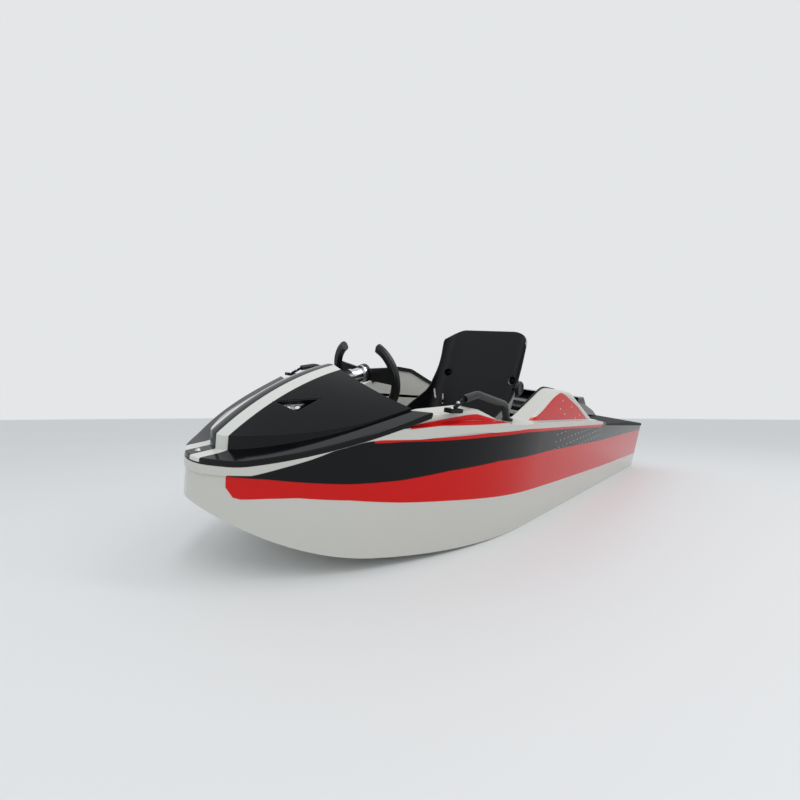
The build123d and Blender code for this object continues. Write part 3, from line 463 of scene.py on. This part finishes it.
def lamp_tray_material():
    """Light grey on the plate in the front of each pocket, dark behind it and on the walls."""
    material, tree, shader = new_material("moulded lamp tray, two colours")
    vector, axes = place(tree)
    grain(tree, shader, vector, 6, 0.02)
    edges = Matrix((LAMP_REAR - LAMP_TIP, LAMP_SIDE - LAMP_TIP, LAMP_OUT)).transposed().inverted()
    share = edges[0] + edges[1]
    start = -share.dot(LAMP_TIP)
    aside = maths(tree, "ABSOLUTE", axes.outputs["Y"])
    sides = {"X": axes.outputs["X"], "Z": axes.outputs["Z"], "Y": aside}
    port = add_node(tree, "ShaderNodeCombineXYZ", sides).outputs[0]
    along = maths(tree, "ADD", dot_product(tree, port, tuple(share)), start)
    behind = over(tree, along, PLATE_SHARE, PLATE_SOFT)
    depth = dot_product(tree, port, tuple(LAMP_OUT))
    height = maths(tree, "SUBTRACT", depth, LAMP_OUT.dot(LAMP_TIP) + PLATE_TOP)
    away = maths(tree, "GREATER_THAN", maths(tree, "ABSOLUTE", height), PLATE_SLACK)
    dark = maths(tree, "MAXIMUM", behind, away)
    finish(tree, shader, mixed(tree, dark, colour("a4a8a9"), colour("0b0c0f")), 0.4, specular=0.3)
    return material


# Extruded rubber for seals and the edge trim, matt, with a fine grain
rubber = plain("extruded rubber", "070708", "0f0f10", 0.62, 1.5, 0.03, ior=1.52, specular=0.3)
# Moulded grips of soft rubber with a leathery grain
grip_rubber = plain("moulded grip rubber", "08080a", "111113", 0.34, 2.5, 0.05, ior=1.52, specular=0.4)
# Non-slip deck paint, a coarse sand-like grain
deck_paint = plain("non-slip deck paint", "0e0f11", "1a1b1e", 0.7, 1.8, 0.25, specular=0.3)
# Seat shell: pigmented plastic in two colours
seat_shell = seat_material()
# Aluminium turned and polished on a lathe
polished_aluminium = plain("polished aluminium", "c9cccf", "dfe1e3", 0.16, 4, 0.01, metallic=1.0)
# Aluminium cast in sand and then blasted
cast_aluminium = plain("cast aluminium", "9da0a3", "b3b6b9", 0.42, 2.2, 0.08, metallic=1.0)
# Stainless steel brushed along the boat
stainless = plain("brushed stainless steel", "b5b7ba", "cdd0d2", 0.24, 1.2, 0.01, metallic=1.0,
                  stretch=(0.08, 1, 1))
# Bare glassfibre inside the tunnel, rough from the mould
raw_fibre = plain("white glassfibre", "b9b9b4", "cfcfca", 0.45, 12, 0.1)
# Painted iron and alloy of the engine block
engine_paint = plain("engine enamel", "3c3e41", "4a4c50", 0.45, 5, 0.05)
# Plywood bearers under glassfibre
bearer = plain("glassed plywood", "8d7a5c", "a3906f", 0.5, 14, 0.1, stretch=(0.15, 1, 1))
# Moulded plastic of the lamp trays, with a light grey plate over the front of a dark pocket
lamp_plastic = lamp_tray_material()
# Clear lamp cover over a bright reflector
lens_material, lens_tree, lens_shader = new_material("lamp lens")
grain(lens_tree, lens_shader, place(lens_tree)[0], 2, 0.05)
finish(lens_tree, lens_shader, colour("e8ecf0"), 0.08, ior=1.49, coat=0.6)
# Black oxide on the heads of small screws
black_steel = plain("black oxide steel", "17181a", "242629", 0.36, 1.0, 0.01, metallic=1.0)
print("materials so far:", len(bpy.data.materials))

# %% [markdown]
# ## Finishes on the CAD pieces
# A node from CAD keeps its mesh and only gets a material, so this is one table.

# %% Finishes on the CAD pieces
NODE_FINISH = {
    "hull": hull_gelcoat, "deck": deck_gelcoat, "cowl": cowl_gelcoat,
    "engine_hood": black_gelcoat, "hood_scoop": black_gelcoat, "aft_deck": deck_paint,
    "edge_trim": rubber, "hatch_seal": rubber, "cowl_gasket": rubber,
    "seat": seat_shell, "seat_rails": stainless, "foot_rest": deck_paint, "throttle_pedal": cast_aluminium,
    "steering_wheel": grip_rubber, "steering_boss": polished_aluminium, "steering_column": stainless,
    "column_bracket": cast_aluminium, "handle_port": grip_rubber, "handle_starboard": grip_rubber,
    "handle_foot_port": black_steel, "handle_foot_starboard": black_steel, "hood_hinges": stainless,
    "lamp_port": lamp_plastic, "lamp_starboard": lamp_plastic,
    "pump_housing": cast_aluminium, "steering_nozzle": cast_aluminium, "impeller": stainless,
    "ride_plate": cast_aluminium, "intake_grate": cast_aluminium, "intake_duct": raw_fibre,
    "engine": engine_paint, "engine_bearers": bearer,
}
for name, node in frame["nodes"].items():
    node.data.materials.clear()
    node.data.materials.append(NODE_FINISH[name])
print("CAD pieces dressed:", len(frame["nodes"]))

# %% [markdown]
# ## Seat with belt slots
# Two slots for a belt go through the starboard corner of the seat shell. The dressed seat is a copy
# of the CAD solid, cut by two slanted bars, and it stands for that solid. The bars point along the
# surface where the camera's line to each place meets it. Edges stay sharp only where two faces meet
# at a clear angle, so the curved shell looks smooth.

# %% Seat with belt slots
SLOT_PLACES = [(.19, -.190, .410), (.19, -.143, .394)]
SLOT_WIDTH, SLOT_HEIGHT, SLOT_REACH = 9 * MM, 52 * MM, 90 * MM
SLOT_TILT = math.radians(14)
SHARP_ANGLE = math.radians(32)
END_PARTS = 8
WELD = 0.001 * MM


def surface_point(node_name, start, direction):
    """Where a ray from a point in the boat's axes first meets a CAD piece, and the normal there."""
    form = bmesh.new()
    form.from_mesh(frame["nodes"][node_name].data)
    tree = BVHTree.FromBMesh(form)
    form.free()
    heading = TO_FRAME.to_3x3() @ Vector(direction).normalized()
    met, normal = tree.ray_cast(TO_FRAME @ Vector(start), heading)[:2]
    back = TO_FRAME.inverted()
    return back @ met, (back.to_3x3() @ normal).normalized()


def slot_cutter(point, normal):
    """A rounded bar along a surface normal, taller than wide, as a mesh object in the frame."""
    form = bmesh.new()
    half = SLOT_HEIGHT / 2 - SLOT_WIDTH / 2
    outline = []
    for centre, first in ((half, 0), (-half, math.pi)):
        for k in range(END_PARTS + 1):
            angle = first + math.pi * k / END_PARTS
            outline.append((SLOT_WIDTH / 2 * math.cos(angle), centre + SLOT_WIDTH / 2 * math.sin(angle)))
    ends = [[form.verts.new((x, y, z)) for x, y in outline] for z in (-SLOT_REACH / 2, SLOT_REACH / 2)]
    form.faces.new(ends[0])
    form.faces.new(ends[1])
    for k in range(len(outline)):
        form.faces.new((ends[0][k - 1], ends[0][k], ends[1][k], ends[1][k - 1]))
    bmesh.ops.recalc_face_normals(form, faces=form.faces)
    turn = normal.to_track_quat("Z", "Y").to_matrix().to_4x4() @ Matrix.Rotation(SLOT_TILT, 4, "Z")
    bmesh.ops.transform(form, matrix=TO_FRAME @ Matrix.Translation(point) @ turn, verts=form.verts)
    mesh = bpy.data.meshes.new("slot_cutter")
    form.to_mesh(mesh)
    form.free()
    cutter = bpy.data.objects.new("slot_cutter", mesh)
    bpy.context.scene.collection.objects.link(cutter)
    return cutter


def smooth_by_angle(mesh, limit):
    """Smooth faces, with sharp edges where faces meet at more than a limit."""
    form = bmesh.new()
    form.from_mesh(mesh)
    for face in form.faces:
        face.smooth = True
    for edge in form.edges:
        edge.smooth = edge.is_manifold and edge.calc_face_angle(0) < limit
    form.to_mesh(mesh)
    form.free()


seat_mesh = frame["nodes"]["seat"].data.copy()
form = bmesh.new()
form.from_mesh(seat_mesh)
bmesh.ops.remove_doubles(form, verts=form.verts, dist=WELD)
form.to_mesh(seat_mesh)
form.free()
dressed_seat = bpy.data.objects.new("seat_shell", seat_mesh)
bpy.context.scene.collection.objects.link(dressed_seat)
cutters = []
start = TO_FRAME.inverted() @ (CAMERA_FROM_KEEL + SHIFT)
for spot in SLOT_PLACES:
    point, normal = surface_point("seat", start, Vector(spot) - start)
    cutters.append(slot_cutter(point, normal))
    cut = dressed_seat.modifiers.new("slot", "BOOLEAN")
    cut.operation, cut.solver, cut.object = "DIFFERENCE", "EXACT", cutters[-1]
bpy.context.view_layer.update()
evaluated = dressed_seat.evaluated_get(bpy.context.evaluated_depsgraph_get())
cut_mesh = bpy.data.meshes.new_from_object(evaluated)
dressed_seat.modifiers.clear()
dressed_seat.data = cut_mesh
smooth_by_angle(cut_mesh, SHARP_ANGLE)
for cutter in cutters:
    bpy.data.objects.remove(cutter)
cut_mesh.materials.clear()
cut_mesh.materials.append(seat_shell)
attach(dressed_seat, "boat")
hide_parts("seat")
print("seat faces:", len(cut_mesh.polygons))

# %% [markdown]
# ## Small things that are too fine for the solids
# Screws and bolts are lathe forms: a profile of radius against height, turned about its axis. One
# function makes each of them in place, with its axis along a given direction in the boat's axes.

# %% Screws and bolts
ROUND_PARTS = 24


def turned(name, profile, point, direction, material, body="boat"):
    """A lathe form. Its profile is (radius, height) in mm, from the axis at the foot to that at the top."""
    mesh = bpy.data.meshes.new(name)
    form = bmesh.new()
    rings = []
    for radius, height in profile:
        if radius == 0:
            rings.append([form.verts.new((0, 0, height * MM))])
            continue
        angles = [2 * math.pi * k / ROUND_PARTS for k in range(ROUND_PARTS)]
        rings.append([form.verts.new((radius * MM * math.cos(a), radius * MM * math.sin(a), height * MM))
                      for a in angles])
    for low, high in zip(rings, rings[1:]):
        for k in range(ROUND_PARTS):
            after = k + 1
            corners = [low[k % len(low)], low[after % len(low)], high[after % len(high)], high[k % len(high)]]
            corners = list(dict.fromkeys(corners))
            if len(corners) > 2:
                form.faces.new(corners)
    bmesh.ops.recalc_face_normals(form, faces=form.faces)
    turn = Vector((0, 0, 1)).rotation_difference(Vector(direction).normalized()).to_matrix().to_4x4()
    bmesh.ops.transform(form, matrix=TO_FRAME @ Matrix.Translation(Vector(point)) @ turn, verts=form.verts)
    form.to_mesh(mesh)
    form.free()
    for face in mesh.polygons:
        face.use_smooth = len(face.vertices) == 4
    mesh.materials.append(material)
    piece = bpy.data.objects.new(name, mesh)
    bpy.context.scene.collection.objects.link(piece)
    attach(piece, body)
    return piece


def dome_screw(name, node, start, direction, radius, material, body="boat"):
    """A dome-headed screw with a washer, set on the surface that a ray meets."""
    point, normal = surface_point(node, start, direction)
    washer = [(0, -3), (radius * 1.5, -3), (radius * 1.5, 1), (radius * 1.05, 1.1)]
    dome = [(1, 0.35), (0.7, 0.6), (0.35, 0.7), (0, 0.7)]
    profile = washer + [(radius * share, radius * rise + 1) for share, rise in dome]
    return turned(name, profile, point, normal, material, body)


DOWN, AFT, AHEAD, TO_STARBOARD, TO_PORT = (0, 0, -1), (-1, 0, 0), (1, 0, 0), (0, -1, 0), (0, 1, 0)
SEAT_BOLT_HALF, SEAT_BOLT_Z = .158, .517
HANDLE_HALF, ABOVE_HANDLE = .361, .6
CLEAT_SCREWS_X = (.838, .817)
HANDLE_SCREW_X = .551
KNOB_SEEN_FROM = (.18, .6, .49)
KNOB_PROFILE = [
    (0, -12), (11, -12), (11, 3), (27, 4), (29, 7), (29, 14), (26, 18), (20, 20), (17, 17), (0, 16),
]

dome_screw("cowl_tip_bolt", "cowl", (1.231, 0, .5), DOWN, 4.5, stainless)
for side, mark in ((1, "port"), (-1, "starboard")):
    bolt_y, handle_y = side * SEAT_BOLT_HALF, side * HANDLE_HALF
    dome_screw("seat_bolt_inner_" + mark, "seat", (.40, bolt_y, SEAT_BOLT_Z), AFT, 9, black_steel)
    dome_screw("seat_bolt_outer_" + mark, "seat", (-.20, bolt_y, SEAT_BOLT_Z), AHEAD, 8, stainless)
    for x in CLEAT_SCREWS_X:
        dome_screw(f"cleat_screw_{mark}_{round(x / MM)}", "handle_foot_" + mark, (x, handle_y, ABOVE_HANDLE),
                   DOWN, 2.6, stainless)
    dome_screw("handle_screw_" + mark, "handle_" + mark, (HANDLE_SCREW_X, handle_y, ABOVE_HANDLE), DOWN, 2.2,
               stainless)
knob_at = surface_point("seat", KNOB_SEEN_FROM, TO_STARBOARD)[0]
turned("seat_knob", KNOB_PROFILE, knob_at, TO_PORT, grip_rubber)
print("screws on the hull and seat are set, and the seat knob at", [round(v, 3) for v in knob_at])

# %% [markdown]
# The wheel is held by three screws round its hub, and a cap covers the nut in the middle. They ride on
# the steering body, so they turn with the wheel.

# %% Screws of the wheel
TILT = math.radians(20)
CAP_PROFILE = [(0, -2), (13, -2), (13, 3), (11, 5.5), (0, 6.5)]
SCREW_PROFILE = [(0, -2), (3.6, -2), (3.6, 1.6), (2.6, 2.8), (0, 3)]
FACE_OUT, SCREW_CIRCLE = 6 * MM, 19.5 * MM
SCREWS = 3
HUB = Vector((.795, 0, .475))
COLUMN = Vector((-math.cos(TILT), 0, math.sin(TILT)))
UP = Vector((math.sin(TILT), 0, math.cos(TILT)))
face_middle = HUB + COLUMN * FACE_OUT
turned("wheel_cap", CAP_PROFILE, face_middle, COLUMN, black_steel, "steering")
for k in range(SCREWS):
    angle = math.radians(90 + 360 / SCREWS * k)
    spot = face_middle + (UP * math.sin(angle) + Vector(TO_PORT) * math.cos(angle)) * SCREW_CIRCLE
    turned(f"wheel_screw_{k + 1}", SCREW_PROFILE, spot, COLUMN, stainless, "steering")
print("wheel screws:", SCREWS)

# %% [markdown]
# ## Lamps in the nose
# Each pocket holds two small lamps behind round holes in its plate. A lens is a shallow dome set
# just inside its hole, square to the plate.

# %% Lamps in the nose
LAMP_HOLES = [(0.17, 0.26), (0.34, 0.27)]
LENS_PROFILE = [(0, -9.5), (7.3, -9.5), (7.3, -2.5), (6.2, -1), (3.5, 0.2), (0, 0.6)]
for mirror_y, mark in ((1, "port"), (-1, "starboard")):
    flip = Matrix.Diagonal((1, mirror_y, 1))
    for k, (along, aside) in enumerate(LAMP_HOLES):
        centre = LAMP_TIP + (LAMP_REAR - LAMP_TIP) * along + (LAMP_SIDE - LAMP_TIP) * aside
        foot = flip @ (centre + LAMP_OUT * PLATE_TOP)
        turned(f"lamp_lens_{mark}_{k + 1}", LENS_PROFILE, foot, flip @ LAMP_OUT, lens_material)
print("lenses:", 2 * len(LAMP_HOLES))

# %% [markdown]
# ## Floor, lamps and background
# The floor is plain and pale. Soft lamps stand for the strips of a workshop ceiling, whose long
# reflections show the shape of the glossy nose. The background is at full strength for the camera and
# in reflections, and a little dimmer as a light on the boat, so pale surfaces don't turn to plain white.

# %% Floor, lamps and background
FLOOR_HALF = 30


def stage_floor():
    """A wide plain floor under the boat."""
    mesh = bpy.data.meshes.new("floor")
    form = bmesh.new()
    bmesh.ops.create_grid(form, x_segments=1, y_segments=1, size=FLOOR_HALF)
    form.to_mesh(mesh)
    form.free()
    material, tree, shader = new_material("plain pale floor")
    vector = add_node(tree, "ShaderNodeTexCoord").outputs["Object"]
    tone = add_node(tree, "ShaderNodeTexNoise", {"Vector": vector, "Scale": 0.6})
    finish(tree, shader, mixed(tree, tone.outputs["Fac"], colour("dcdedf"), colour("e2e4e5")), 0.6)
    mesh.materials.append(material)
    floor = bpy.data.objects.new("floor", mesh)
    bpy.context.scene.collection.objects.link(floor)


def soft_lamp(name, place_at, target, size, power):
    """A rectangular lamp that faces a point."""
    data = bpy.data.lights.new(name, "AREA")
    data.shape = "RECTANGLE"
    data.size, data.size_y = size
    data.energy = power
    lamp = bpy.data.objects.new(name, data)
    bpy.context.scene.collection.objects.link(lamp)
    lamp.location = place_at
    lamp.rotation_euler = (Vector(target) - Vector(place_at)).to_track_quat("-Z", "Y").to_euler()


stage_floor()
soft_lamp("ceiling strip one", (1.6, 1.4, 3.2), (.5, 0, .3), (0.5, 3.0), 26)
soft_lamp("ceiling strip two", (-.6, 2.0, 3.0), (.2, 0, .3), (0.5, 2.6), 20)
soft_lamp("bow fill", (4.5, 2.5, 2.6), (.8, 0, .3), (2.5, 1.6), 12)

scene = bpy.context.scene
scene.view_settings.view_transform = "Standard"
world = bpy.data.worlds.new("pale studio")
scene.world = world
world.use_nodes = True
sky = world.node_tree
sky.nodes.clear()
rays = add_node(sky, "ShaderNodeLightPath")
seen = add_node(sky, "ShaderNodeBackground", {"Color": colour("e4e6e8"), "Strength": 1.0})
lit = add_node(sky, "ShaderNodeBackground", {"Color": colour("eceef0"), "Strength": 0.88})
through = maths(sky, "MAXIMUM", rays.outputs["Is Glossy Ray"], rays.outputs["Is Transmission Ray"])
mirror_like = maths(sky, "MAXIMUM", rays.outputs["Is Camera Ray"], through)
choice = add_node(sky, "ShaderNodeMixShader", {0: mirror_like, 1: lit.outputs[0], 2: seen.outputs[0]})
add_node(sky, "ShaderNodeOutputWorld", {"Surface": choice.outputs[0]})
print("lamps:", len(bpy.data.lights))
